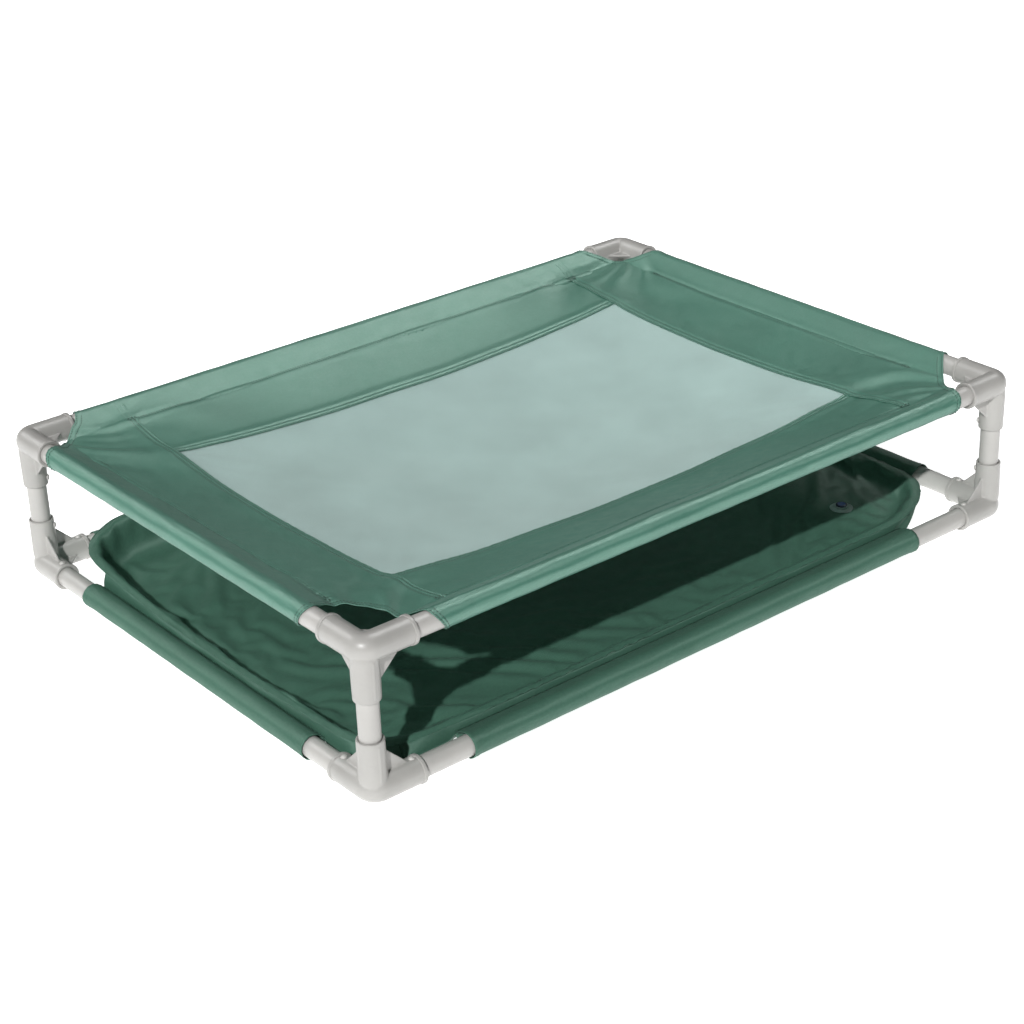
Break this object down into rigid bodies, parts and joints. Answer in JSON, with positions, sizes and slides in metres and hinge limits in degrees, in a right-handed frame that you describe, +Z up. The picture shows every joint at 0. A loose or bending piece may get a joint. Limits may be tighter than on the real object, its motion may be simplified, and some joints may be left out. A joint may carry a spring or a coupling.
{
  "type": "raised dog bed with splash basin",
  "caption": "Raised dog bed: vinyl-bordered mesh deck and a shallow vinyl basin with a drain, both slung on a plastic pipe frame with moulded corner fittings.",
  "frame": {"origin": "on the floor, at the middle of the footprint", "axes": "+X along the long side, +Y from front to back, +Z up"},
  "size_m": [1.101, 0.802, 0.2191],
  "materials": {
    "pvc_pipe": "satin grey-white PVC pipe",
    "pvc_fitting": "satin moulded grey-white PVC",
    "vinyl": "green vinyl-coated cloth with a soft sheen",
    "mesh": "pale green open-weave coated mesh",
    "basin_vinyl": "green waterproof vinyl",
    "drain_seat": "satin pale plastic",
    "drain_plug": "satin blue rubber",
    "screws": "satin white caps"
  },
  "bodies": {
    "frame": {"lower_corner_front_left": "pvc_fitting", "lower_corner_front_right": "pvc_fitting", "lower_corner_back_left": "pvc_fitting", "lower_corner_back_right": "pvc_fitting", "upper_corner_front_left": "pvc_fitting", "upper_corner_front_right": "pvc_fitting", "upper_corner_back_left": "pvc_fitting", "upper_corner_back_right": "pvc_fitting", "screw_lower_front_left_a": "screws", "screw_lower_front_left_b": "screws", "screw_lower_front_left_leg": "screws", "screw_lower_front_right_a": "screws", "screw_lower_front_right_b": "screws", "screw_lower_front_right_leg": "screws", "screw_lower_back_left_a": "screws", "screw_lower_back_left_b": "screws", "screw_lower_back_left_leg": "screws", "screw_lower_back_right_a": "screws", "screw_lower_back_right_b": "screws", "screw_lower_back_right_leg": "screws", "screw_upper_front_left_a": "screws", "screw_upper_front_left_b": "screws", "screw_upper_front_left_leg": "screws", "screw_upper_front_right_a": "screws", "screw_upper_front_right_b": "screws", "screw_upper_front_right_leg": "screws", "screw_upper_back_left_a": "screws", "screw_upper_back_left_b": "screws", "screw_upper_back_left_leg": "screws", "screw_upper_back_right_a": "screws", "screw_upper_back_right_b": "screws", "screw_upper_back_right_leg": "screws", "lower_rail_front": "pvc_pipe", "lower_rail_back": "pvc_pipe", "lower_rail_left": "pvc_pipe", "lower_rail_right": "pvc_pipe", "upper_rail_front": "pvc_pipe", "upper_rail_back": "pvc_pipe", "upper_rail_left": "pvc_pipe", "upper_rail_right": "pvc_pipe", "leg_front_left": "pvc_pipe", "leg_front_right": "pvc_pipe", "leg_back_left": "pvc_pipe", "leg_back_right": "pvc_pipe", "deck_panel_front": "vinyl", "deck_panel_back": "vinyl", "deck_panel_left": "vinyl", "deck_panel_right": "vinyl", "deck_mesh": "mesh", "basin_liner": "basin_vinyl", "basin_sleeve_front": "basin_vinyl", "basin_sleeve_back": "basin_vinyl", "basin_sleeve_left": "basin_vinyl", "basin_sleeve_right": "basin_vinyl", "drain_seat": "drain_seat"},
    "drain_plug": {"drain_plug": "drain_plug"}
  },
  "joints": [
    {"name": "drain_plug_pull", "type": "slide", "parent": "frame", "child": "drain_plug", "axis": [0, 0, 1], "range_m": [0, 0.025]}
  ]
}
